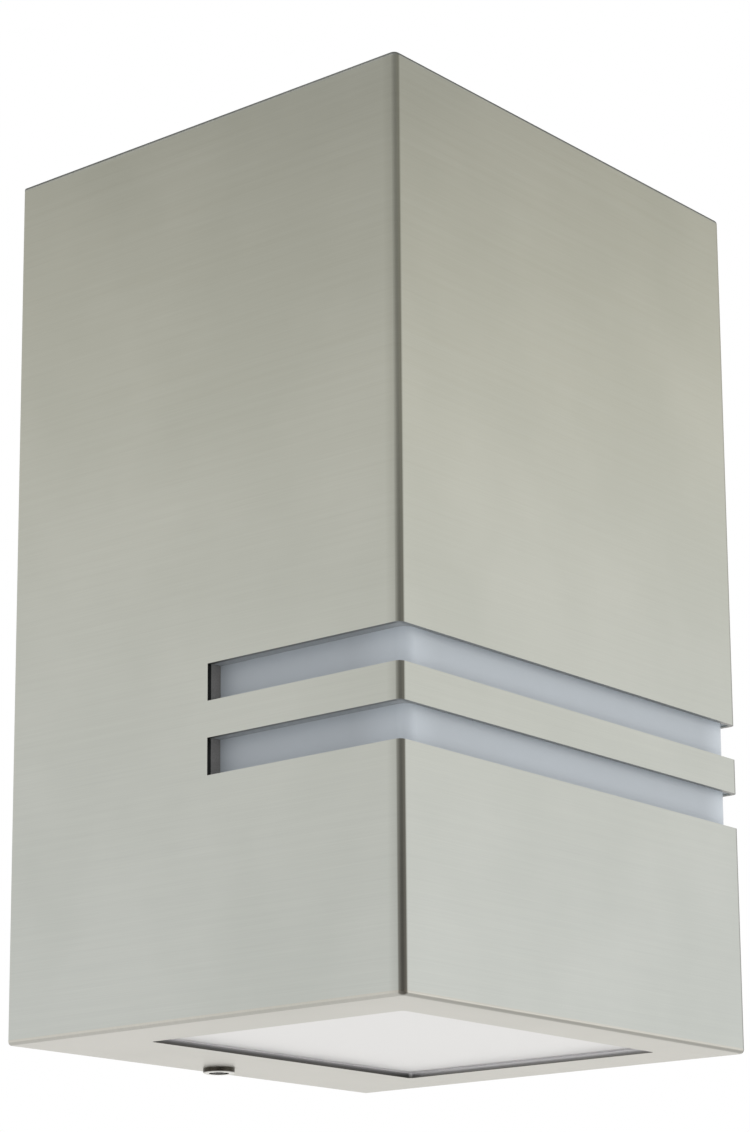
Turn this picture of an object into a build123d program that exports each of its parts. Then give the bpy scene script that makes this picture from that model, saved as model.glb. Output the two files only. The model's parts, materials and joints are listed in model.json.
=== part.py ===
from build123d import *
import os

# Outdoor wall light: a folded steel box with two wrap-round light slots and a glazed bottom,
# which slides on to a wall plate that carries the lampholder and the terminals.
# Millimetres. Origin midway between the wall screws, on the wall. Front faces -Y, +Z is up.

# Cover
body_w = 110.0          # left to right
body_d = 100.0          # wall to front
body_h = 180.0          # bottom to top
screw_height = 90.0     # wall screws above the cover's bottom
sheet = 1.0             # thickness of the cover's sheet
bend_r = 1.4            # outside radius of the folded front corners
rim_r = 0.8             # rounding of the top and bottom plates' rims
tab_l = 20.0            # weld tabs of the top and bottom plates, length
tab_h = 8.0             # and height

# Light slots, diffuser and seal
slot_low = 46.5         # cover's bottom to the lower slot
slot_h = 7.3
slot_bar = 7.2          # bar between the two slots
slot_run = 47.3         # reach of the slots along each side, from the front
seal_left = 3.0         # seal between sheet and diffuser, left side
seal_front = 0.8
seal_right = 0.3
seal_back = 0.3         # seal's edge behind the slot's edge
diffuser_t = 2.0
diffuser_r = 2.5        # outside corner radius of the diffuser
diffuser_lap = 7.0      # reach of diffuser and seal past the slots

# Bottom window and its pane
window_side = 15.0      # frame left and right of the window
window_front = 12.3
window_back = 24.3
window_r = 0.8
gasket_t = 0.4          # sealing tape between frame and pane
gasket_back = 0.4       # gasket's edge behind the window's edge
glass_t = 4.0
glass_lap = 4.0         # pane's reach past the window
glass_edge = 0.4        # ground edge of the pane

# Spring clips, with their weld studs and nuts
clip_t = 1.0
clip_w = 10.0
clip_foot = 6.0
clip_lip = 3.5
clip_gap = 0.2          # clip to the edge that it holds
clip_inset = 10.0       # clip centre from the pane's front and back edges
stud_r = 1.5
stud_l = 8.0
stud_clear = 0.15
nut_flats = 5.5
nut_h = 2.4
thread_clear = 0.1      # radial room of a plain screw in a plain thread

# Lock screw, its threaded insert in the bottom frame and its thrust pad
lock_out = 5.5          # screw axis from the wall
lock_r = 2.0
lock_l = 8.0
lock_recess = 0.2       # screw end above the insert's flange
lock_chamfer = 0.4
socket_flats = 2.0
socket_depth = 2.5
insert_h = 3.8          # insert's body inside the cover
insert_wall = 0.9       # shank around the thread
insert_bulge = 1.4      # body past the shank
insert_rim = 0.3        # flange past the shank, below the cover
insert_rim_t = 1.0
insert_round = 0.25
pad_r = 1.8
pad_t = 1.2
pad_pin_r = 1.0
pad_pin_l = 2.0
pad_play = 0.05         # pad to screw, and pad to wall plate
seat_clear = 0.05       # radial room of a seated piece

# Wall plate, its gasket and the cable entry
gasket_wall_t = 2.0
gasket_wall_w = 6.0
plate_t = 1.5
plate_bend = 2.5        # outside radius of the plate's bends
plate_side = 4.0        # plate edge to the cover's sheet
plate_top = 0.2         # upper flange to the cover's top plate
flange_out = 14.0       # flanges' reach from the wall
flange_r = 4.0
screw_spacing = 60.0    # between the two wall screws
screw_slot_r = 2.5
screw_slot_l = 12.0
cable_r = 4.0           # hole of the grommet
grommet_wall = 3.0      # grommet between cable and plate
grommet_rim = 2.5
grommet_rim_t = 1.5

# Bulb, measured down from the tip of its contact
bulb_reach = 54.0       # tip to the middle of the globe
globe_r = 22.5
globe_wall = 1.0
neck_room = 0.3         # neck to the cap's wall
neck_in = 12.0          # neck's reach into the cap
cap_r = 13.1
cap_l = 27.0
cap_wall = 0.5
cap_top = 2.5
cap_slope = 1.8
tip_r = 4.5
tip_t = 1.2
insulator_t = 3.3
insulator_r = 5.0

# Lampholder
holder_wall = 5.75
holder_step = 2.0       # head set in from the skirt
holder_head = 17.0      # from the socket's floor up to the bracket
holder_round = 1.0
mouth_room = 0.5        # holder's mouth below the cap
shell_room = 0.4        # cap to the threaded shell
shell_wall = 0.7
shell_up = 4.0          # shell's lower edge above the mouth
shell_hole = 6.5
spring_h = 2.0          # contact spring, pressed together
spring_room = 0.6       # spring to the stem
spring_wire = 1.2
contact_t = 1.5
contact_r = 4.5
stem_r = 2.0
stem_in = 8.0           # stem's reach into the holder
stem_room = 0.5         # stem's end to the bottom of its hole
nipple_r = 5.0
nipple_wall = 1.5
nipple_in = 6.0
nipple_out = 1.0        # nipple above its nut
holder_nut_flats = 14.0
holder_nut_h = 3.0

# Lamp bracket and its rivets
bracket_t = 1.5
bracket_w = 26.0
bracket_leg = 20.0
bracket_past = 14.0     # arm past the lamp's axis
bracket_bend = 2.5
rivet_spacing = 16.0
rivet_up = 8.0          # rivets above the leg's end
rivet_r = 2.0
rivet_head_r = 3.6
rivet_head_t = 1.2
rivet_tail_r = 2.9
rivet_tail_t = 1.2

# Terminal block
block_down = 29.0       # block centre below the wall screws
block_w = 30.0
block_d = 10.0
block_h = 17.0
pole_pitch = 14.0
pole_out = 5.0          # tube axis from the plate
tube_wall = 0.9
tube_inset = 1.0
tower_wall = 1.55
tower_h = 1.5
term_screw_r = 1.5
term_screw_pitch = 9.0
term_screw_sunk = 0.6
term_slot_w = 0.6
term_slot_d = 0.8
block_screw_head_r = 2.8
block_screw_head_t = 1.8
block_screw_past = 1.0  # screw end behind the plate

# Earth terminal
earth_left = 28.0
earth_down = 22.0
earth_r = 2.0
earth_l = 12.0
washer_r = 4.5
washer_t = 0.8
earth_nut_flats = 7.0
earth_nut_h = 3.2

# Leads
lead_r = 1.1
lead_room = 0.5         # lead in its holes
lead_bend = 12.0
lead_in = 8.0           # lead's reach into the holder
lead_down = 8.0         # and into the terminal block
lead_play = 0.6         # lead's end to the bottom of its hole

# Levels and places worked out from the sizes above
z_bottom = -screw_height
z_top = body_h - screw_height
z_floor_in = z_bottom + sheet
lower_slot = z_bottom + slot_low
upper_slot = lower_slot + slot_h + slot_bar
slots_mid = lower_slot + slot_h + slot_bar / 2
diffuser_low = lower_slot - diffuser_lap
diffuser_h = 2 * (slot_h + diffuser_lap) + slot_bar
leg_end = slot_run + diffuser_lap - body_d
window_w = body_w - 2 * window_side
window_d = body_d - window_front - window_back
window_y = (window_front - window_back - body_d) / 2
pane_w = window_w + 2 * glass_lap
pane_d = window_d + 2 * glass_lap
insert_low = z_bottom - insert_rim_t
insert_r = lock_r + thread_clear + insert_wall
lock_low = insert_low + lock_recess
flange_low = lock_low + lock_l + pad_t + 2 * pad_play
flange_high = z_top - sheet - plate_top
plate_w = body_w - 2 * (sheet + plate_side)
plate_front = gasket_wall_t + plate_t
entry_r = cable_r + grommet_wall
lamp_out = (plate_front + body_d - sheet - seal_front - diffuser_t) / 2
tip_z = slots_mid + bulb_reach
socket_top = tip_z + contact_t + spring_h
arm_z = socket_top + holder_head
mouth_z = tip_z - cap_l - mouth_room
neck_r = cap_r - cap_wall - neck_room
shell_r = cap_r + shell_room
socket_r = shell_r + shell_wall + seat_clear
holder_r = socket_r + holder_wall
holder_head_r = holder_r - holder_step
holder_back = lamp_out - holder_head_r
wire_z = socket_top + holder_head / 2
tube_out = plate_front + pole_out
tube_bore = lead_r + lead_room
tube_r = tube_bore + tube_wall


def cover_outline(left, front, right, corner):
    """The cover's outline from above, set in from its outer faces and square at the wall."""
    with BuildSketch() as outline:
        with Locations(((left - right) / 2, (front - body_d) / 2)):
            Rectangle(body_w - left - right, body_d - front)
        fillet(outline.vertices().group_by(Axis.Y)[0], corner)
    return outline.sketch


def sheet_outline(inset):
    """The same outline set in evenly, as the folded sheet's faces are."""
    return cover_outline(inset, inset, inset, bend_r - inset)


def diffuser_outline(inset):
    """The diffuser's outer face, or a face set in from it."""
    return cover_outline(sheet + seal_left + inset, sheet + seal_front + inset,
                         sheet + seal_right + inset, diffuser_r - inset)


def channel_outline(inset):
    """The wall plate's side view, open to the front, or a face set in from its outer faces."""
    with BuildSketch() as outline:
        with Locations((-gasket_wall_t - inset, flange_low + inset)):
            Rectangle(flange_out - gasket_wall_t - inset, flange_high - flange_low - 2 * inset,
                      align=(Align.MAX, Align.MIN))
        fillet(outline.vertices().group_by(Axis.X)[-1], plate_bend - inset)
    return outline.sketch


def angle_outline(inset):
    """The lamp bracket's side view, with its leg at the wall, or a face set in from its outer faces."""
    with BuildSketch() as outline:
        with Locations((-plate_front - inset, arm_z + bracket_t - inset)):
            Rectangle(lamp_out + bracket_past - plate_front - inset, bracket_leg - inset,
                      align=(Align.MAX, Align.MAX))
        fillet(outline.vertices().group_by(Axis.X)[-1].sort_by(Axis.Y)[-1], bracket_bend - inset)
    return outline.sketch


def wall_plane(x, z, out):
    """Plane that faces away from the wall, at a distance out from it."""
    return Plane((x, -out, z), x_dir=(1, 0, 0), z_dir=(0, -1, 0))


def lamp_plane(z):
    """Level plane on the lamp's axis."""
    return Plane((0, -lamp_out, z))


def disc(plane, radius, height, bore=0.0, mode=Mode.ADD):
    """Round piece standing on a plane, bored through if a bore is given."""
    with BuildSketch(plane) as face:
        Circle(radius)
        if bore:
            Circle(bore, mode=Mode.SUBTRACT)
    extrude(face.sketch, amount=height, mode=mode)


def hex_nut(plane, flats, height, bore):
    """Hexagon nut standing on a plane."""
    with BuildSketch(plane) as face:
        RegularPolygon(flats / 2, 6, major_radius=False, rotation=30)
        Circle(bore, mode=Mode.SUBTRACT)
    extrude(face.sketch, amount=height)


def weld_tabs(z, side):
    """Three tabs of a top or bottom plate, which lie against the inside of the shell."""
    up = Align.MIN if side > 0 else Align.MAX
    inner = sheet + sheet / 2
    with Locations((0, inner - body_d, z)):
        Box(tab_l, sheet, tab_h, align=(Align.CENTER, Align.CENTER, up))
    with Locations((inner - body_w / 2, -body_d / 2, z), (body_w / 2 - inner, -body_d / 2, z)):
        Box(sheet, tab_l, tab_h, align=(Align.CENTER, Align.CENTER, up))


def cut_slots(edge):
    """Both light slots, larger by edge on each side."""
    for level in (lower_slot, upper_slot):
        with Locations((0, -body_d, level - edge)):
            Box(2 * body_w, 2 * (slot_run + edge), slot_h + 2 * edge,
                align=(Align.CENTER, Align.CENTER, Align.MIN), mode=Mode.SUBTRACT)


def clip_plane(edge, toward, up):
    """Plane of a clip's side view: from the held edge, towards the held piece, and up off the sheet."""
    return Plane(edge, x_dir=toward, z_dir=Vector(toward).cross(Vector(up)))


def stud_plane(plane):
    """Plane on the sheet under a clip's foot, where its stud is welded."""
    foot = -clip_gap - clip_t - clip_foot / 2
    return Plane(plane.from_local_coords((foot, 0, 0)), x_dir=plane.x_dir, z_dir=plane.y_dir)


def clip(plane, step):
    """Spring clip: a foot on the sheet, a rise over the held edge and a lip on the held piece."""
    rise = -clip_gap - clip_t
    with BuildSketch(plane) as side:
        with BuildLine():
            Polyline((rise - clip_foot, 0), (-clip_gap, 0), (-clip_gap, step), (clip_lip, step),
                     (clip_lip, step + clip_t), (rise, step + clip_t), (rise, clip_t),
                     (rise - clip_foot, clip_t), close=True)
        make_face()
    extrude(side.sketch, amount=clip_w / 2, both=True)
    disc(stud_plane(plane), stud_r + stud_clear, clip_t, mode=Mode.SUBTRACT)


def clip_nut(plane):
    """Nut on a clip's foot."""
    foot = stud_plane(plane).offset(clip_t)
    hex_nut(foot, nut_flats, nut_h, stud_r + seat_clear)


# Cover: folded shell
with BuildPart() as housing_shell:
    with BuildSketch(Plane.XY.offset(z_floor_in)):
        add(sheet_outline(0))
        add(sheet_outline(sheet), mode=Mode.SUBTRACT)
    extrude(amount=body_h - 2 * sheet)
    cut_slots(0)

# Cover: top plate
with BuildPart() as top_plate:
    with BuildSketch(Plane.XY.offset(z_top - sheet)):
        add(sheet_outline(0))
    extrude(amount=sheet)
    fillet(top_plate.faces().sort_by(Axis.Z)[-1].edges().sort_by(Axis.Y)[:-1], rim_r)
    weld_tabs(z_top - sheet, -1)

# Cover: bottom frame with the window and the lock screw's hole
with BuildPart() as bottom_frame:
    with BuildSketch(Plane.XY.offset(z_bottom)):
        add(sheet_outline(0))
    extrude(amount=sheet)
    fillet(bottom_frame.faces().sort_by(Axis.Z)[0].edges().sort_by(Axis.Y)[:-1], rim_r)
    with BuildSketch(Plane.XY.offset(z_bottom)):
        with Locations((0, window_y)):
            RectangleRounded(window_w, window_d, window_r)
        with Locations((0, -lock_out)):
            Circle(insert_r + seat_clear)
    extrude(amount=sheet, mode=Mode.SUBTRACT)
    weld_tabs(z_floor_in, 1)

# Window: gasket and pane
with BuildPart() as window_gasket:
    with BuildSketch(Plane.XY.offset(z_floor_in)):
        with Locations((0, window_y)):
            Rectangle(pane_w, pane_d)
            RectangleRounded(window_w + 2 * gasket_back, window_d + 2 * gasket_back,
                             window_r + gasket_back, mode=Mode.SUBTRACT)
    extrude(amount=gasket_t)

with BuildPart() as window_glass:
    with BuildSketch(Plane.XY.offset(z_floor_in + gasket_t)):
        with Locations((0, window_y)):
            Rectangle(pane_w, pane_d)
    extrude(amount=glass_t)
    chamfer(window_glass.edges(), glass_edge)

# Window: clips, studs and nuts
clip_rows = pane_d / 2 - clip_inset
glass_clip_planes = [
    clip_plane((-side * pane_w / 2, window_y + row, z_floor_in), (side, 0, 0), (0, 0, 1))
    for side in (1, -1) for row in (clip_rows, -clip_rows)
]

with BuildPart() as glass_clips:
    for place in glass_clip_planes:
        clip(place, gasket_t + glass_t)

with BuildPart() as glass_studs:
    for place in glass_clip_planes:
        disc(stud_plane(place), stud_r, stud_l)

with BuildPart() as glass_nuts:
    for place in glass_clip_planes:
        clip_nut(place)

# Slots: seal and opal diffuser, both U-shaped from above
with BuildPart() as slot_seal:
    with BuildSketch(Plane.XY.offset(diffuser_low)):
        add(sheet_outline(sheet))
        add(diffuser_outline(0), mode=Mode.SUBTRACT)
        with Locations((0, leg_end)):
            Rectangle(body_w, body_d, align=(Align.CENTER, Align.MIN), mode=Mode.SUBTRACT)
    extrude(amount=diffuser_h)
    cut_slots(seal_back)

with BuildPart() as slot_diffuser:
    with BuildSketch(Plane.XY.offset(diffuser_low)):
        add(diffuser_outline(0))
        add(diffuser_outline(diffuser_t), mode=Mode.SUBTRACT)
        with Locations((0, leg_end)):
            Rectangle(body_w, body_d, align=(Align.CENTER, Align.MIN), mode=Mode.SUBTRACT)
    extrude(amount=diffuser_h)

# Slots: clamps at the ends of the diffuser's legs, studs and nuts
inner_face = body_w / 2 - sheet
clamp_places = [
    (clip_plane((-inner_face, leg_end, slots_mid), (0, -1, 0), (1, 0, 0)), seal_left + diffuser_t),
    (clip_plane((inner_face, leg_end, slots_mid), (0, -1, 0), (-1, 0, 0)), seal_right + diffuser_t),
]

with BuildPart() as diffuser_clamps:
    for place, step in clamp_places:
        clip(place, step)

with BuildPart() as clamp_studs:
    for place, step in clamp_places:
        disc(stud_plane(place), stud_r, stud_l)

with BuildPart() as clamp_nuts:
    for place, step in clamp_places:
        clip_nut(place)

# Lock: threaded insert riveted into the bottom frame, its flange below
with BuildPart() as threaded_insert:
    disc(Plane((0, -lock_out, insert_low)), insert_r + insert_rim, insert_rim_t)
    fillet(threaded_insert.faces().sort_by(Axis.Z)[0].edges(), insert_round)
    disc(Plane((0, -lock_out, z_bottom)), insert_r, sheet)
    disc(Plane((0, -lock_out, z_floor_in)), insert_r + insert_bulge, insert_h)
    disc(Plane((0, -lock_out, insert_low)), lock_r + thread_clear, insert_rim_t + sheet + insert_h,
         mode=Mode.SUBTRACT)

# Lock: grub screw with a hexagon socket below and a hole for the pad's pin above
with BuildPart() as lock_screw:
    disc(Plane((0, -lock_out, lock_low)), lock_r, lock_l)
    chamfer(lock_screw.edges().filter_by(GeomType.CIRCLE), lock_chamfer)
    with BuildSketch(Plane((0, -lock_out, lock_low))):
        RegularPolygon(socket_flats / 2, 6, major_radius=False)
    extrude(amount=socket_depth, mode=Mode.SUBTRACT)
    disc(Plane((0, -lock_out, lock_low + lock_l - pad_pin_l - pad_play)), pad_pin_r + pad_play,
         pad_pin_l + pad_play, mode=Mode.SUBTRACT)

with BuildPart() as lock_screw_pad:
    disc(Plane((0, -lock_out, lock_low + lock_l + pad_play)), pad_r, pad_t)
    disc(Plane((0, -lock_out, lock_low + lock_l - pad_pin_l)), pad_pin_r, pad_pin_l + pad_play)

# Wall: plate bent to a channel, with slots for the wall screws and the cable entry
leg_low = arm_z + bracket_t - bracket_leg
rivet_points = [(x, leg_low + rivet_up) for x in (-rivet_spacing / 2, rivet_spacing / 2)]

with BuildPart() as wall_plate:
    with BuildSketch(Plane.YZ):
        add(channel_outline(0))
        add(channel_outline(plate_t), mode=Mode.SUBTRACT)
    extrude(amount=plate_w / 2, both=True)
    fillet(wall_plate.edges().filter_by(Axis.Z).group_by(Axis.Y)[0], flange_r)
    with BuildSketch(wall_plane(0, 0, gasket_wall_t)):
        with GridLocations(screw_spacing, 0, 2, 1):
            SlotOverall(screw_slot_l, 2 * screw_slot_r)
        Circle(entry_r + seat_clear)
        with Locations(*rivet_points):
            Circle(rivet_r + seat_clear)
        with Locations((0, -block_down)):
            Circle(term_screw_r + seat_clear)
    extrude(amount=plate_t, mode=Mode.SUBTRACT)

with BuildPart() as wall_gasket:
    flat_w = plate_w - 2 * plate_bend
    flat_h = flange_high - flange_low - 2 * plate_bend
    with BuildSketch(wall_plane(0, (flange_high + flange_low) / 2, 0)):
        RectangleRounded(flat_w, flat_h, flange_r)
        Rectangle(flat_w - 2 * gasket_wall_w, flat_h - 2 * gasket_wall_w, mode=Mode.SUBTRACT)
    extrude(amount=gasket_wall_t)

with BuildPart() as cable_grommet:
    disc(wall_plane(0, 0, gasket_wall_t - grommet_rim_t), entry_r + grommet_rim, grommet_rim_t)
    disc(wall_plane(0, 0, gasket_wall_t), entry_r, plate_t)
    disc(wall_plane(0, 0, plate_front), entry_r + grommet_rim, grommet_rim_t)
    disc(wall_plane(0, 0, gasket_wall_t - grommet_rim_t), cable_r, plate_t + 2 * grommet_rim_t,
         mode=Mode.SUBTRACT)

# Lamp: bracket riveted to the plate
with BuildPart() as lamp_bracket:
    with BuildSketch(Plane.YZ):
        add(angle_outline(0))
        add(angle_outline(bracket_t), mode=Mode.SUBTRACT)
    extrude(amount=bracket_w / 2, both=True)
    disc(lamp_plane(arm_z), nipple_r + stud_clear, bracket_t, mode=Mode.SUBTRACT)
    for x, z in rivet_points:
        disc(wall_plane(x, z, plate_front), rivet_r + seat_clear, bracket_t, mode=Mode.SUBTRACT)

with BuildPart() as bracket_rivets:
    for x, z in rivet_points:
        disc(wall_plane(x, z, gasket_wall_t - rivet_tail_t), rivet_tail_r, rivet_tail_t)
        disc(wall_plane(x, z, gasket_wall_t), rivet_r, plate_t + bracket_t)
        disc(wall_plane(x, z, plate_front + bracket_t), rivet_head_r, rivet_head_t)

# Lamp: holder body, hollow below for the cap and drilled for the contact's stem, wires and nipple
with BuildPart() as lampholder_body:
    disc(lamp_plane(mouth_z), holder_r, socket_top - mouth_z)
    disc(lamp_plane(socket_top), holder_head_r, holder_head)
    rims = lampholder_body.edges().filter_by(GeomType.CIRCLE).group_by(Axis.Z)
    fillet(rims[0] + rims[1].sort_by(SortBy.RADIUS)[-1:], holder_round)
    disc(lamp_plane(mouth_z), socket_r, socket_top - mouth_z, mode=Mode.SUBTRACT)
    disc(lamp_plane(socket_top), stem_r + thread_clear, stem_in + stem_room, mode=Mode.SUBTRACT)
    disc(lamp_plane(arm_z - nipple_in), nipple_r + seat_clear, nipple_in, mode=Mode.SUBTRACT)
    with BuildSketch(wall_plane(0, wire_z, plate_front)):
        with GridLocations(pole_pitch, 0, 2, 1):
            Circle(lead_r + lead_room)
    extrude(amount=holder_back - plate_front + lead_in + lead_play, mode=Mode.SUBTRACT)

with BuildPart() as lampholder_shell:
    disc(lamp_plane(mouth_z + shell_up), shell_r + shell_wall, socket_top - mouth_z - shell_up)
    disc(lamp_plane(mouth_z + shell_up), shell_r, socket_top - mouth_z - shell_up - shell_wall,
         mode=Mode.SUBTRACT)
    disc(lamp_plane(socket_top - shell_wall), shell_hole, shell_wall, mode=Mode.SUBTRACT)

with BuildPart() as centre_contact:
    disc(lamp_plane(tip_z), contact_r, contact_t)
    disc(lamp_plane(tip_z + contact_t), stem_r, spring_h + stem_in)

with BuildPart() as contact_spring:
    disc(lamp_plane(tip_z + contact_t), stem_r + spring_room + spring_wire, spring_h,
         bore=stem_r + spring_room)

with BuildPart() as holder_nipple:
    disc(lamp_plane(arm_z - nipple_in), nipple_r, nipple_in + bracket_t + holder_nut_h + nipple_out,
         bore=nipple_r - nipple_wall)

with BuildPart() as holder_nut:
    hex_nut(lamp_plane(arm_z + bracket_t), holder_nut_flats, holder_nut_h, nipple_r + seat_clear)

# Bulb: glass globe on a neck, both walls drawn on the same centres
cap_low = tip_z - cap_l
globe_drop = bulb_reach - cap_l
flare_r = (neck_r**2 + globe_drop**2 - globe_r**2) / (2 * (globe_r - neck_r))
to_flare = Vector(neck_r + flare_r, globe_drop).normalized()

with BuildPart() as bulb_globe:
    with BuildSketch(wall_plane(0, slots_mid, lamp_out)):
        with BuildLine():
            outer_join = to_flare * globe_r
            inner_join = to_flare * (globe_r - globe_wall)
            neck_top = tip_z - neck_in - slots_mid
            Line((neck_r - globe_wall, neck_top), (neck_r, neck_top))
            Line((neck_r, neck_top), (neck_r, globe_drop))
            outer_flare = TangentArc((neck_r, globe_drop), outer_join, tangent=(0, -1))
            TangentArc(outer_join, (0, -globe_r), tangent=outer_flare % 1)
            Line((0, -globe_r), (0, globe_wall - globe_r))
            inner_start = (neck_r - globe_wall, globe_drop)
            inner_flare = TangentArc(inner_start, inner_join, tangent=(0, -1))
            TangentArc(inner_join, (0, globe_wall - globe_r), tangent=inner_flare % 1)
            Line((neck_r - globe_wall, globe_drop), (neck_r - globe_wall, neck_top))
        make_face()
    revolve(axis=Axis((0, -lamp_out, 0), (0, 0, 1)))

# Bulb: screw cap, insulator and contact
insulator_low = tip_z - tip_t - insulator_t
cap_shoulder = cap_r - cap_slope

with BuildPart() as bulb_cap:
    disc(lamp_plane(cap_low), cap_r, insulator_low - cap_low)
    chamfer(bulb_cap.faces().sort_by(Axis.Z)[-1].edges(), cap_slope)
    disc(lamp_plane(cap_low), cap_r - cap_wall, insulator_low - cap_top - cap_low, mode=Mode.SUBTRACT)

with BuildPart() as bulb_insulator:
    with BuildSketch(lamp_plane(insulator_low)):
        Circle(cap_shoulder)
    with BuildSketch(lamp_plane(tip_z - tip_t)):
        Circle(insulator_r)
    loft()

with BuildPart() as bulb_contact:
    disc(lamp_plane(tip_z - tip_t), tip_r, tip_t)

# Supply: terminal block with two poles, each a brass tube with two screws
pole_points = [(-pole_pitch / 2, -block_down), (pole_pitch / 2, -block_down)]
screw_points = [(x, z + dz) for x, z in pole_points for dz in (-term_screw_pitch / 2, term_screw_pitch / 2)]
block_front = plate_front + block_d
block_low = -block_down - block_h / 2
tower_end = block_front + tower_h

with BuildPart() as terminal_block:
    with Locations((0, -plate_front, -block_down)):
        Box(block_w, block_d, block_h, align=(Align.CENTER, Align.MAX, Align.CENTER))
    for x, z in screw_points:
        disc(wall_plane(x, z, block_front), term_screw_r + stud_clear + tower_wall, tower_h)
        disc(wall_plane(x, z, tube_out), term_screw_r + stud_clear, tower_end - tube_out, mode=Mode.SUBTRACT)
    for x, z in pole_points:
        disc(Plane((x, -tube_out, block_low)), tube_r + seat_clear, block_h, mode=Mode.SUBTRACT)
    disc(wall_plane(0, -block_down, plate_front), term_screw_r + stud_clear, block_d, mode=Mode.SUBTRACT)

with BuildPart() as terminal_tubes:
    for x, z in pole_points:
        disc(Plane((x, -tube_out, block_low + tube_inset)), tube_r, block_h - 2 * tube_inset, bore=tube_bore)
    for x, z in screw_points:
        disc(wall_plane(x, z, tube_out), term_screw_r + seat_clear, tube_r, mode=Mode.SUBTRACT)

with BuildPart() as terminal_screws:
    screw_tip = tube_out + lead_r + stud_clear
    screw_end = tower_end - term_screw_sunk
    for x, z in screw_points:
        disc(wall_plane(x, z, screw_tip), term_screw_r, screw_end - screw_tip)
    with BuildSketch(wall_plane(0, 0, screw_end)):
        with Locations(*screw_points):
            Rectangle(2 * term_screw_r, term_slot_w)
    extrude(amount=-term_slot_d, mode=Mode.SUBTRACT)

with BuildPart() as block_screw:
    disc(wall_plane(0, -block_down, gasket_wall_t - block_screw_past), term_screw_r,
         block_screw_past + plate_t + block_d)
    disc(wall_plane(0, -block_down, block_front), block_screw_head_r, block_screw_head_t)
    with BuildSketch(wall_plane(0, -block_down, block_front + block_screw_head_t)):
        Rectangle(2 * block_screw_head_r, term_slot_w)
    extrude(amount=-term_slot_d, mode=Mode.SUBTRACT)

# Supply: earth terminal
with BuildPart() as earth_stud:
    disc(wall_plane(-earth_left, -earth_down, plate_front), earth_r, earth_l)

with BuildPart() as earth_washer:
    disc(wall_plane(-earth_left, -earth_down, plate_front), washer_r, washer_t, bore=earth_r + stud_clear)

with BuildPart() as earth_nut:
    hex_nut(wall_plane(-earth_left, -earth_down, plate_front + washer_t), earth_nut_flats, earth_nut_h,
            earth_r + seat_clear)


# Leads: up from a terminal tube, then forward into the back of the lampholder
def lead(x):
    """Wire in the upright plane at x."""
    start = (x, -tube_out, -block_down + block_h / 2 - lead_down)
    corner = (x, -tube_out, wire_z)
    end = (x, -(holder_back + lead_in), wire_z)
    with BuildLine() as route:
        FilletPolyline(start, corner, end, radius=lead_bend)
    with BuildSketch(Plane(start)) as section:
        Circle(lead_r)
    sweep(section.sketch, path=route.line)


with BuildPart() as lead_live:
    lead(pole_pitch / 2)

with BuildPart() as lead_neutral:
    lead(-pole_pitch / 2)

# One file for each piece
pieces = {
    "housing_shell": housing_shell, "top_plate": top_plate, "bottom_frame": bottom_frame,
    "window_gasket": window_gasket, "window_glass": window_glass, "glass_clips": glass_clips,
    "glass_studs": glass_studs, "glass_nuts": glass_nuts, "slot_seal": slot_seal,
    "slot_diffuser": slot_diffuser, "diffuser_clamps": diffuser_clamps, "clamp_studs": clamp_studs,
    "clamp_nuts": clamp_nuts, "threaded_insert": threaded_insert, "lock_screw": lock_screw,
    "lock_screw_pad": lock_screw_pad, "wall_plate": wall_plate, "wall_gasket": wall_gasket,
    "cable_grommet": cable_grommet, "lamp_bracket": lamp_bracket, "bracket_rivets": bracket_rivets,
    "lampholder_body": lampholder_body, "lampholder_shell": lampholder_shell,
    "centre_contact": centre_contact, "contact_spring": contact_spring, "holder_nipple": holder_nipple,
    "holder_nut": holder_nut, "bulb_globe": bulb_globe, "bulb_cap": bulb_cap,
    "bulb_insulator": bulb_insulator, "bulb_contact": bulb_contact, "terminal_block": terminal_block,
    "terminal_tubes": terminal_tubes, "terminal_screws": terminal_screws, "block_screw": block_screw,
    "earth_stud": earth_stud, "earth_washer": earth_washer, "earth_nut": earth_nut,
    "lead_live": lead_live, "lead_neutral": lead_neutral,
}
os.makedirs("parts", exist_ok=True)
for name, piece in pieces.items():
    piece.part.label = name
    export_step(piece.part, f"parts/{name}.step")
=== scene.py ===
import json
import math

import bpy
from mathutils import Matrix, Vector

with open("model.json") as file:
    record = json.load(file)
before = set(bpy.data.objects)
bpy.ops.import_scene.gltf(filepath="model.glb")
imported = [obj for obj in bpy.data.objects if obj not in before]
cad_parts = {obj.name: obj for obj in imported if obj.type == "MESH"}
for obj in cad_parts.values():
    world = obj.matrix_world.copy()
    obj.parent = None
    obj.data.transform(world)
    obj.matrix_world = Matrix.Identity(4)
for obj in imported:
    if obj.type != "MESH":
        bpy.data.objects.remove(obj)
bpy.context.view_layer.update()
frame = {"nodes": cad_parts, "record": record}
nodes = frame["nodes"]

# Camera at the photograph's viewing angle: below the light, in front of its left corner
CAMERA_AT = Vector((-0.4745, -0.4418, -0.1705))
CAMERA_YAW = math.radians(50.33)      # from +Y towards +X
CAMERA_PITCH = math.radians(12.72)    # upwards
CAMERA_ROLL = math.radians(-0.39)
CAMERA_LENS = 98.6
CAMERA_SENSOR = 36.0
CAMERA_SHIFT = 0.175
CAMERA_NEAR = 0.01

# Floor
FLOOR_Z = -1.3            # low, so that views from below stay above it
FLOOR_SIZE = 8.0
FLOOR_FADE = (0.5, 2.2)   # distances from the middle between which it turns plain white


def box(name):
    """Lowest and highest corner of a piece, in its own coordinates."""
    corners = [tuple(corner) for corner in nodes[name].bound_box]
    return Vector(tuple(map(min, *corners))), Vector(tuple(map(max, *corners)))


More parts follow.
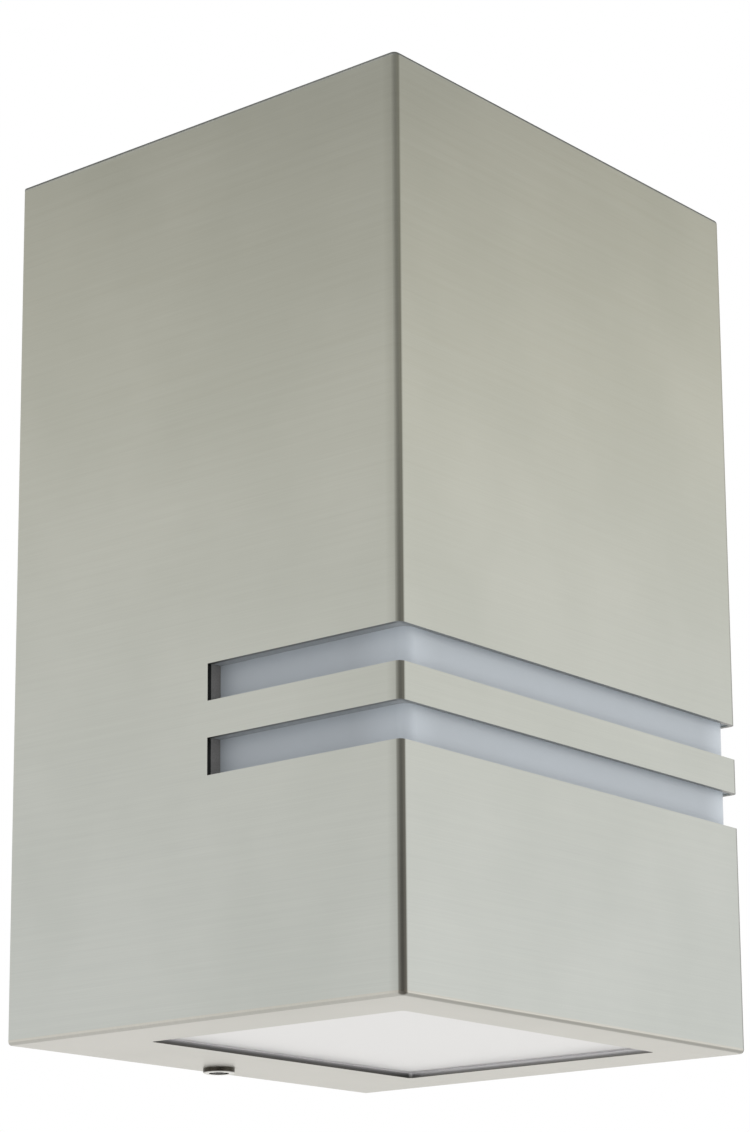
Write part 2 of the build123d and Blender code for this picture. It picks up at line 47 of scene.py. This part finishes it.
# Places on the light, from its pieces
shell_low, shell_high = box("housing_shell")
tape_low, tape_high = box("window_gasket")
opal_low = box("slot_diffuser")[0]
FRONT, WALL = shell_low.y, shell_high.y
FOOT, TOP = box("bottom_frame")[0].z, box("top_plate")[1].z
MIDDLE = (shell_low + shell_high) / 2

# Limits of the masks on the cover's steel
# Painted shade behind each fold
FOLD_PAINTED_SHADE_STRIP = (FRONT + 0.0012, FRONT + 0.0033)   # strip behind a fold that fades backwards
FRONT_SHEET = FRONT + 0.0015                    # just behind the front's sheet
PAST_FOLD = FRONT + 0.04                        # between the folds and the slots' ends
WALL_EDGE = WALL - 0.0005
WINDOW_Y = (tape_low.y + tape_high.y) / 2
WINDOW_CLEAR = 0.001                            # past the window's tape, short of the plate's other edges
WINDOW_HALF_W = tape_high.x + WINDOW_CLEAR
WINDOW_HALF_D = tape_high.y - WINDOW_Y + WINDOW_CLEAR

# Parts of a noise's range over which a finish changes
WIDE = (0.3, 0.7)
NARROW = (0.35, 0.65)

WHITE = (1.0, 1.0, 1.0)


def rgba(colour):
    return (*colour, 1.0)


def tinted(colour, factor):
    return tuple(min(1.0, c * factor) for c in colour)


class Graph:
    """A material's or the world's node tree, with short ways to add nodes."""

    def __init__(self, tree):
        self.tree = tree
        tree.nodes.clear()

    def node(self, kind, **values):
        made = self.tree.nodes.new(kind)
        for key, value in values.items():
            setattr(made, key, value)
        return made

    def put(self, socket, value):
        """Links an output to a socket, or sets the socket to a constant."""
        if isinstance(value, bpy.types.NodeSocket):
            self.tree.links.new(value, socket)
        else:
            socket.default_value = value

    def math(self, operation, a, b=None, clamp=False):
        made = self.node("ShaderNodeMath", operation=operation, use_clamp=clamp)
        self.put(made.inputs[0], a)
        if b is not None:
            self.put(made.inputs[1], b)
        return made.outputs[0]

    def times(self, product, *factors):
        for factor in factors:
            product = self.math("MULTIPLY", product, factor)
        return product

    def absolute(self, value):
        return self.math("ABSOLUTE", value)

    def without(self, value):
        """What is left of 1 without the value."""
        return self.math("SUBTRACT", 1.0, value)

    def halfway(self, a, b):
        """From two parts of a unit vector: 1 where they are equal, 0 where one of them is nothing."""
        return self.times(a, b, 2.0)

    def remap(self, value, low, high, to_low, to_high, smooth=False):
        made = self.node("ShaderNodeMapRange")
        made.interpolation_type = "SMOOTHSTEP" if smooth else "LINEAR"
        self.put(made.inputs["Value"], value)
        made.inputs["From Min"].default_value = low
        made.inputs["From Max"].default_value = high
        made.inputs["To Min"].default_value = to_low
        made.inputs["To Max"].default_value = to_high
        return made.outputs["Result"]

    def dot(self, vector, direction):
        made = self.node("ShaderNodeVectorMath", operation="DOT_PRODUCT")
        self.put(made.inputs[0], vector)
        made.inputs[1].default_value = direction
        return made.outputs["Value"]

    def distance(self, vector, place):
        made = self.node("ShaderNodeVectorMath", operation="DISTANCE")
        self.put(made.inputs[0], vector)
        made.inputs[1].default_value = place
        return made.outputs["Value"]

    def combine(self, x, y):
        """A vector in the plane z = 0."""
        made = self.node("ShaderNodeCombineXYZ")
        self.put(made.inputs[0], x)
        self.put(made.inputs[1], y)
        return made.outputs[0]

    def split(self, vector):
        made = self.node("ShaderNodeSeparateXYZ")
        self.put(made.inputs[0], vector)
        return made.outputs[0], made.outputs[1], made.outputs[2]

    def noise(self, vector, scale, detail=2.0, roughness=0.5):
        made = self.node("ShaderNodeTexNoise")
        self.put(made.inputs["Vector"], vector)
        made.inputs["Scale"].default_value = scale
        made.inputs["Detail"].default_value = detail
        made.inputs["Roughness"].default_value = roughness
        return made.outputs[0]

    def ramp(self, value, *stops):
        made = self.node("ShaderNodeValToRGB")
        self.put(made.inputs[0], value)
        elements = made.color_ramp.elements
        while len(elements) < len(stops):
            elements.new(0.5)
        for element, (place, colour) in zip(elements, stops):
            element.position = place
            element.color = rgba(colour)
        return made.outputs[0]

    def shades(self, value, span, low, high):
        """A colour that goes from one to another over a span of the value."""
        return self.ramp(value, (span[0], low), (span[1], high))

    def mix(self, factor, a, b, blend="MIX"):
        """Two colours, by the colour sockets of a mix node."""
        made = self.node("ShaderNodeMix", data_type="RGBA", blend_type=blend)
        self.put(made.inputs[0], factor)
        self.put(made.inputs[6], a)
        self.put(made.inputs[7], b)
        return made.outputs[2]

    def bump(self, height, strength, distance=0.0002):
        made = self.node("ShaderNodeBump")
        self.put(made.inputs["Height"], height)
        made.inputs["Strength"].default_value = strength
        made.inputs["Distance"].default_value = distance
        return made.outputs["Normal"]


class Finish(Graph):
    """A new material's graph, with its shader and its surface socket."""

    def __init__(self, name):
        self.material = bpy.data.materials.new(name)
        self.material.use_nodes = True
        super().__init__(self.material.node_tree)
        self.shader = self.node("ShaderNodeBsdfPrincipled")
        self.surface = self.node("ShaderNodeOutputMaterial").inputs["Surface"]
        self.put(self.surface, self.shader.outputs[0])
        place = self.node("ShaderNodeTexCoord")
        self.point, self.normal = place.outputs["Object"], place.outputs["Normal"]

    def dress(self, **values):
        """Sets the shader's inputs, named with underscores for spaces, and gives back the material."""
        for key, value in values.items():
            self.put(self.shader.inputs[key.replace("_", " ")], value)
        return self.material


# Brushed steel: waves of its grain to the metre, along and across, and its shades, with painted shade for
# its rims, folds and cut edges
FINE_GRAIN = (45.0, 5200.0)
BROAD_GRAIN = (16.0, 900.0)
FINE_SHARE = 0.6
STEEL_CLOUDS = 26.0
CLOUD_SHADE = (0.94, 0.945, 0.94)
# Painted shade along the sheet's rounded rims
RIM_PAINTED_SHADE = (0.30, 0.295, 0.28)
# Painted shade on the folds, standing in for the dark they reflect, from the light's foot to its top
FOLD_PAINTED_SHADES = ((0.0, (0.222, 0.206, 0.188)), (0.35, (0.28, 0.27, 0.25)), (1.0, (0.53, 0.525, 0.495)))
# Cut edges of the sheet, and of the window from the plate's underside to the tape: dark partly as oxidised
# laser-cut edges and partly as painted shade, lighter on the front and paler towards the tape as painted
# light
SIDE_CUT_OXIDE_AND_SHADE = (0.19, 0.19, 0.185)
FRONT_CUT_OXIDE_AND_SHADE = (0.30, 0.30, 0.29)
END_CUT_OXIDE_AND_SHADE = (0.035, 0.034, 0.032)
WALL_CUT_OXIDE_AND_SHADE = (0.10, 0.10, 0.097)
WINDOW_BACK_OXIDE_AND_SHADE = ((0.0, (0.085, 0.083, 0.075)), (0.55, (0.12, 0.12, 0.12)), (1.0, (0.36, 0.36, 0.37)))
WINDOW_SIDE_OXIDE_AND_SHADE = ((0.0, (0.165, 0.16, 0.15)), (0.5, (0.24, 0.24, 0.24)), (1.0, (0.68, 0.68, 0.70)))


def brush_lines(g, along, across):
    """Fine lines of the brush, and their blend with broader ones."""
    run, rise = g.dot(g.point, along), g.dot(g.point, across)

    def stretched(waves):
        return g.combine(g.times(run, waves[0]), g.times(rise, waves[1]))

    fine = g.noise(stretched(FINE_GRAIN), 1.0, 3.0, 0.6)
    broad = g.noise(stretched(BROAD_GRAIN), 1.0)
    return fine, g.math("ADD", g.times(fine, FINE_SHARE), g.times(broad, 1.0 - FINE_SHARE))


def folds_painted_shade(g, height):
    """Painted shade on the upright folds, fainter upwards and towards the sides, with a faint painted strip
    behind each.
    """
    nx, ny, _ = g.split(g.normal)
    side, face = g.absolute(nx), g.absolute(ny)
    fold = g.remap(g.halfway(side, face), 0.05, 0.60, 0.0, 1.0, smooth=True)
    toward_side = g.remap(g.math("SUBTRACT", face, side), -0.9, 0.6, 1.0, 0.0)
    fainter = g.times(toward_side, g.remap(height, 0.1, 0.6, 0.20, 0.75))
    # Painted shade in a faint strip behind each fold, on the side faces
    strip = g.remap(g.split(g.point)[1], *FOLD_PAINTED_SHADE_STRIP, 0.20, 0.0)
    on_side = g.remap(side, 0.9, 0.99, 0.0, 1.0)
    return g.math("MAXIMUM", g.times(fold, g.without(fainter)), g.times(strip, on_side))


def rims_painted_shade(g):
    """Painted shade on the rounded rims at the sheet's edges: full where they face up, faint where they face
    down.
    """
    _, ny, nz = g.split(g.normal)
    level = g.math("SQRT", g.math("SUBTRACT", 1.0, g.times(nz, nz), clamp=True))
    rim = g.remap(g.halfway(g.absolute(nz), level), 0.25, 0.85, 0.0, 1.0, smooth=True)
    facing_down = g.remap(g.absolute(ny), 0.0, 0.7, 0.10, 0.36)
    facing_up = g.remap(nz, -0.2, 0.2, 0.0, 1.0)
    return g.times(rim, g.math("MAXIMUM", facing_down, facing_up))


def shell_cut_edges_oxide_and_shade(g):
    """Laser-cut edges of the shell: along the slots and its rims, and at the slots' and the sheet's ends,
    dark partly as oxide and partly as painted shade.
    """
    y = g.split(g.point)[1]
    _, ny, nz = g.split(g.normal)
    level_cut = g.remap(g.absolute(nz), 0.6, 0.8, 0.0, 1.0)
    # Level cut edges, lighter on the front than on the sides as painted light
    level_shade = g.mix(g.math("LESS_THAN", y, FRONT_SHEET), rgba(SIDE_CUT_OXIDE_AND_SHADE), rgba(FRONT_CUT_OXIDE_AND_SHADE))
    across = g.remap(g.absolute(ny), 0.6, 0.8, 0.0, 1.0)
    end_cut = g.times(across, g.math("GREATER_THAN", y, PAST_FOLD))
    return (level_cut, level_shade), (end_cut, rgba(END_CUT_OXIDE_AND_SHADE))


def plate_cut_edges_oxide_and_shade(g):
    """Laser-cut edges of the top and bottom plates: at the wall, and round the window, dark partly as oxide
    and partly as painted shade.
    """
    x, y, z = g.split(g.point)
    nx, ny, nz = g.split(g.normal)
    upright = g.remap(g.absolute(nz), 0.2, 0.4, 1.0, 0.0)
    wall_cut = g.times(upright, g.math("GREATER_THAN", y, WALL_EDGE), g.math("GREATER_THAN", ny, 0.7))
    across = g.math("LESS_THAN", g.absolute(x), WINDOW_HALF_W)
    along = g.math("LESS_THAN", g.absolute(g.math("SUBTRACT", y, WINDOW_Y)), WINDOW_HALF_D)
    window_cut = g.times(upright, across, along)
    # The window's cut edges: dark at the underside as painted shade, paler towards the tape as a painted
    # reflection of the pane, and lighter on its left and right edges
    depth = g.remap(z, FOOT, tape_low.z, 0.0, 1.0)
    window_shade = g.mix(g.absolute(nx), g.ramp(depth, *WINDOW_BACK_OXIDE_AND_SHADE), g.ramp(depth, *WINDOW_SIDE_OXIDE_AND_SHADE))
    return (wall_cut, rgba(WALL_CUT_OXIDE_AND_SHADE)), (window_cut, window_shade)


def brushed_steel(name, steel, along, across, turn_axis, cut_edges_oxide_and_shade):
    """Brushed stainless sheet: grain along one direction, with painted shade where the sheet is bent, on its
    rims and on its cut edges, which are also dark as oxide.
    """
    g = Finish(name)
    fine, streak = brush_lines(g, along, across)
    colour = g.shades(streak, WIDE, tinted(steel, 0.95), tinted(steel, 1.04))
    cloud = g.remap(g.noise(g.point, STEEL_CLOUDS, 3.0, 0.55), *NARROW, 0.0, 1.0)
    colour = g.mix(cloud, colour, rgba(CLOUD_SHADE), "MULTIPLY")
    height = g.remap(g.split(g.point)[2], FOOT, TOP, 0.0, 1.0)
    # Painted shade on the folds and rims, then the cut edges, dark partly as oxide and partly as painted
    # shade
    colour = g.mix(folds_painted_shade(g, height), colour, g.ramp(height, *FOLD_PAINTED_SHADES), "MULTIPLY")
    colour = g.mix(rims_painted_shade(g), colour, rgba(RIM_PAINTED_SHADE), "MULTIPLY")
    for mask, shade in cut_edges_oxide_and_shade(g):
        colour = g.mix(mask, colour, shade)
    tangent = g.node("ShaderNodeTangent", direction_type="RADIAL", axis=turn_axis)
    return g.dress(Base_Color=colour, Metallic=1.0, Roughness=g.remap(streak, *WIDE, 0.30, 0.38),
                   Anisotropic=0.55, Tangent=tangent.outputs[0], Normal=g.bump(fine, 0.06, 0.0001))


def lit_and_shaded_faces(name, grain, upright, level, turn, rough, bump, metallic=0.0):
    """A material with one pair of shades on upright faces and another on level ones: painted shade on the
    upright faces and painted light on the level ones.
    """
    g = Finish(name)
    fine = g.noise(g.point, grain, 3.0, 0.6)
    lit_share = g.remap(g.absolute(g.split(g.normal)[2]), *turn, 0.0, 1.0)
    colour = g.mix(lit_share, g.shades(fine, WIDE, *upright), g.shades(fine, WIDE, *level))
    return g.dress(Base_Color=colour, Metallic=metallic, Roughness=g.remap(fine, *WIDE, *rough),
                   Normal=g.bump(fine, bump))


def opal_with_painted_glow(name, colour, bends):
    """Opal strip with painted light at its bends, standing in for light that comes into it from two sides.
    """
    g = Finish(name)
    x, y, _ = g.split(g.point)
    cloud = g.noise(g.point, 60.0, 3.0, 0.6)
    base = g.shades(cloud, NARROW, tinted(colour, 0.985), tinted(colour, 1.015))
    glow_colour = g.shades(cloud, NARROW, tinted(colour, 1.27), tinted(colour, 1.30))
    painted_glow = 0.0
    for bend, strength in bends:
        away = g.distance(g.combine(x, y), bend)
        painted_glow = g.math("MAXIMUM", g.remap(away, *GLOW_REACH, strength, 0.0, smooth=True), painted_glow)
    return g.dress(Base_Color=g.mix(painted_glow, base, glow_colour), Roughness=g.remap(cloud, *NARROW, 0.38, 0.46),
                   Normal=g.bump(g.noise(g.point, 240.0, 3.0, 0.6), 0.02))


def plain(name, colour, rough, metallic, grain, spread, bump):
    """A material with a fine colour, roughness and surface variation of its own."""
    g = Finish(name)
    fine = g.noise(g.point, grain, 3.0, 0.6)
    cloud = g.noise(g.point, grain / 12.0)
    blend = g.math("ADD", g.times(fine, 0.5), g.times(cloud, 0.5))
    shades = g.shades(blend, NARROW, tinted(colour, 1.0 - spread), tinted(colour, 1.0 + spread))
    return g.dress(Base_Color=shades, Roughness=g.remap(blend, *NARROW, rough * 0.88, rough * 1.12),
                   Metallic=metallic, Normal=g.bump(fine, bump))


# Colour, roughness, metallic, grain to the metre, spread of the colour, bump
PLAIN = {
    "plated_steel": ((0.66, 0.68, 0.71), 0.32, 1.0, 500.0, 0.10, 0.04),
    "screw_steel": ((0.42, 0.42, 0.42), 0.36, 1.0, 1500.0, 0.12, 0.06),
    "black_rubber": ((0.028, 0.028, 0.03), 0.62, 0.0, 900.0, 0.25, 0.10),
    # The tape's colour is paler than the silicone's own, as painted light on a tape that sits in shade
    # between the plate and the pane
    "pale_silicone": ((0.84, 0.83, 0.86), 0.50, 0.0, 900.0, 0.05, 0.05),
    "satin_glass": ((0.80, 0.79, 0.78), 0.38, 0.0, 700.0, 0.015, 0.03),
    "white_nylon": ((0.82, 0.81, 0.77), 0.45, 0.0, 900.0, 0.03, 0.05),
    "rivet_aluminium": ((0.75, 0.75, 0.76), 0.28, 1.0, 900.0, 0.06, 0.04),
    "porcelain": ((0.86, 0.855, 0.83), 0.16, 0.0, 160.0, 0.02, 0.02),
    "contact_brass": ((0.74, 0.58, 0.29), 0.26, 1.0, 900.0, 0.08, 0.04),
    "opal_glass": ((0.86, 0.86, 0.845), 0.22, 0.0, 120.0, 0.015, 0.01),
    "cap_aluminium": ((0.77, 0.77, 0.78), 0.30, 1.0, 700.0, 0.06, 0.04),
    "black_glass": ((0.02, 0.02, 0.025), 0.14, 0.0, 400.0, 0.20, 0.02),
    "brown_insulation": ((0.20, 0.085, 0.04), 0.42, 0.0, 700.0, 0.08, 0.03),
    "blue_insulation": ((0.05, 0.16, 0.45), 0.42, 0.0, 700.0, 0.08, 0.03),
}
# Grain along, across, and the axis that it runs round
UPRIGHT = ((1.0, 1.0, 0.0), (0.0, 0.0, 1.0), "Z")
FLAT = ((1.0, 0.0, 0.0), (0.0, 1.0, 0.0), "Y")
STEEL = (0.605, 0.625, 0.595)
# The bottom frame's copy of the cover steel, warmer as a painted tint of the warm light it reflects
FRAME_STEEL_WARM_REFLECTION = (0.64, 0.627, 0.578)
OPAL = (0.53, 0.575, 0.62)
# Places and strengths of the diffuser's painted glow, by its left bend and beside its right one
GLOW_BACK = 0.0027        # left glow behind the strip's front
GLOW_REACH = (0.001, 0.011)
LEFT_GLOW = ((opal_low.x, opal_low.y + GLOW_BACK, 0.0), 0.65)
RIGHT_GLOW = ((shell_high.x, opal_low.y, 0.0), 1.3)

# Finishes by the record's material slots, and those of single pieces
finish = {name: plain(name, *values) for name, values in PLAIN.items()}
finish["cover_steel"] = brushed_steel("cover_steel_plate", STEEL, *FLAT, plate_cut_edges_oxide_and_shade)
finish["opal_plastic"] = opal_with_painted_glow("opal_plastic", OPAL, (LEFT_GLOW, RIGHT_GLOW))
# Closed-cell foam of the slots' seal, with painted shade on its upright faces and painted light on its level
# faces next to the opal strip
finish["grey_foam"] = lit_and_shaded_faces(
    "slot_foam", 2600.0, upright=((0.23, 0.222, 0.215), (0.29, 0.282, 0.275)),
    level=((0.34, 0.36, 0.38), (0.40, 0.42, 0.44)), turn=(0.5, 0.8), rough=(0.72, 0.88), bump=0.2)
special = {
    "housing_shell": brushed_steel("cover_steel_shell", STEEL, *UPRIGHT, shell_cut_edges_oxide_and_shade),
    "bottom_frame": brushed_steel("cover_steel_frame", FRAME_STEEL_WARM_REFLECTION, *FLAT, plate_cut_edges_oxide_and_shade),
    # Plated, with painted shade on its upright faces, standing in for the dark they reflect, and a bright
    # painted reflection on its level ones
    "threaded_insert": lit_and_shaded_faces(
        "insert_steel", 900.0, upright=((0.05, 0.046, 0.038), (0.08, 0.074, 0.062)),
        level=((0.70, 0.69, 0.66), (0.82, 0.81, 0.78)), turn=(0.2, 0.7), rough=(0.28, 0.40), bump=0.05,
        metallic=1.0),
}
slot_of = {row["node"]: row["material_slot"] for row in frame["record"]["subparts"]}
for name, piece in nodes.items():
    piece.data.materials.clear()
    piece.data.materials.append(special.get(name) or finish[slot_of[name]])


def pale_floor(name):
    """Nearly white, and for the camera plain white away from the light."""
    g = Finish(name)
    x, y, _ = g.split(g.point)
    away = g.math("SQRT", g.math("ADD", g.times(x, x), g.times(y, y)))
    g.dress(Base_Color=g.shades(g.noise(g.point, 2.0), WIDE, (0.90, 0.90, 0.895), (0.92, 0.92, 0.915)),
            Roughness=0.9)
    white = g.node("ShaderNodeEmission")
    white.inputs["Color"].default_value = rgba(WHITE)
    both = g.node("ShaderNodeMixShader")
    seen = g.node("ShaderNodeLightPath").outputs["Is Camera Ray"]
    g.put(both.inputs[0], g.times(seen, g.remap(away, *FLOOR_FADE, 0.0, 1.0, smooth=True)))
    g.put(both.inputs[1], g.shader.outputs[0])
    g.put(both.inputs[2], white.outputs[0])
    g.put(g.surface, both.outputs[0])
    return g.material


half = FLOOR_SIZE / 2
corners = [(-half, -half, FLOOR_Z), (half, -half, FLOOR_Z), (half, half, FLOOR_Z), (-half, half, FLOOR_Z)]
floor_mesh = bpy.data.meshes.new("floor")
floor_mesh.from_pydata(corners, [], [(0, 1, 2, 3)])
floor = bpy.data.objects.new("floor", floor_mesh)
bpy.context.scene.collection.objects.link(floor)
floor_mesh.materials.append(pale_floor("floor"))

# What the metal reflects: brightness between two heights of the direction it looks in
WALLS = (0.0, 0.4, 1.0, 0.92)
WALLS_END = (0.303, 0.503, 1.0, 0.30)
CEILING = (0.60, 0.85, 0.0, 0.80)
GROUND = (-0.12, 0.02, 1.27, 1.0)
# Brighter to the front right than to the back left, and darker straight ahead of the front left corner
FRONT_RIGHT = (0.77, -0.64, 0.0)
SIDE_LEVELS = (0.90, 1.04)
FRONT_LEFT = (-0.66, -0.75, 0.0)
DARK_PATCH = (0.70, 0.97)
DARK_DEPTH = (0.12, 0.42, 0.75, 0.20)
# Warm towards the ground and below the ceiling, over a range of heights
WARM_RANGE = (-0.25, 0.75)
WARM = (1.02, 0.955, 0.78)
WARM_STOPS = ((0.05, (1.0, 0.975, 0.93)), (0.25, WHITE), (0.46, WHITE), (0.61, WARM), (0.67, WARM),
              (0.77, (0.99, 1.0, 1.0)))
FILL = 0.78               # even light on all that isn't a reflection


def studio(world):
    """White where the camera or glass looks, a soft studio for what the metal reflects, and even light."""
    world.use_nodes = True
    g = Graph(world.node_tree)
    ray = g.node("ShaderNodeLightPath")
    way = g.node("ShaderNodeTexCoord").outputs["Generated"]
    z = g.split(way)[2]
    walls = g.times(g.remap(z, *WALLS), g.remap(z, *WALLS_END, smooth=True))
    ceiling = g.remap(z, *CEILING, smooth=True)
    aside = g.remap(g.dot(way, FRONT_RIGHT), -1.0, 1.0, *SIDE_LEVELS)
    ahead = g.remap(g.dot(way, FRONT_LEFT), *DARK_PATCH, 0.0, 1.0, smooth=True)
    gloom = g.without(g.times(ahead, g.remap(z, *DARK_DEPTH)))
    room = g.times(g.math("MAXIMUM", walls, ceiling), aside, gloom, g.remap(z, *GROUND))
    reflected = ray.outputs["Is Glossy Ray"]
    direct = g.math("MAXIMUM", ray.outputs["Is Camera Ray"], ray.outputs["Is Transmission Ray"])
    light = g.math("ADD", g.times(reflected, room), g.times(g.without(reflected), FILL))
    tint = g.ramp(g.remap(z, *WARM_RANGE, 0.0, 1.0), *WARM_STOPS)
    background = g.node("ShaderNodeBackground")
    g.put(background.inputs["Color"], g.mix(reflected, rgba(WHITE), tint))
    g.put(background.inputs["Strength"], g.math("MAXIMUM", direct, light))
    g.put(g.node("ShaderNodeOutputWorld").inputs[0], background.outputs[0])


bpy.context.scene.world = bpy.data.worlds.new("studio")
studio(bpy.context.scene.world)


def soft_light(name, place, size, power):
    """A large square lamp that faces the light's middle."""
    data = bpy.data.lights.new(name, "AREA")
    data.size = size
    data.energy = power
    lamp = bpy.data.objects.new(name, data)
    bpy.context.scene.collection.objects.link(lamp)
    lamp.location = place
    lamp.rotation_mode = "QUATERNION"
    lamp.rotation_quaternion = (MIDDLE - Vector(place)).to_track_quat("-Z", "Y")
    lamp.visible_camera = False
    lamp.visible_glossy = False


soft_light("key_light", place=(0.36, -0.46, 0.12), size=0.3, power=0.21)
soft_light("top_light", place=(0.1, -0.2, 1.5), size=1.4, power=10.5)
soft_light("low_light", place=(0.0, -0.3, -1.2), size=2.0, power=4.6)

# Camera: its directions by yaw and pitch, then rolled about the line of sight
camera_data = bpy.data.cameras.new("camera")
camera_data.lens = CAMERA_LENS
camera_data.sensor_width = CAMERA_SENSOR
camera_data.shift_y = CAMERA_SHIFT
camera_data.clip_start = CAMERA_NEAR
camera = bpy.data.objects.new("camera", camera_data)
bpy.context.scene.collection.objects.link(camera)
level = Vector((math.sin(CAMERA_YAW), math.cos(CAMERA_YAW), 0.0))
right = Vector((math.cos(CAMERA_YAW), -math.sin(CAMERA_YAW), 0.0))
forward = level * math.cos(CAMERA_PITCH) + Vector((0.0, 0.0, math.sin(CAMERA_PITCH)))
up = right.cross(forward)
rolled_right = right * math.cos(CAMERA_ROLL) + up * math.sin(CAMERA_ROLL)
rolled_up = up * math.cos(CAMERA_ROLL) - right * math.sin(CAMERA_ROLL)
turn = Matrix((rolled_right, rolled_up, -forward)).transposed()
camera.matrix_world = Matrix.Translation(CAMERA_AT) @ turn.to_4x4()
bpy.context.scene.camera = camera

bpy.context.scene.view_settings.view_transform = "Standard"
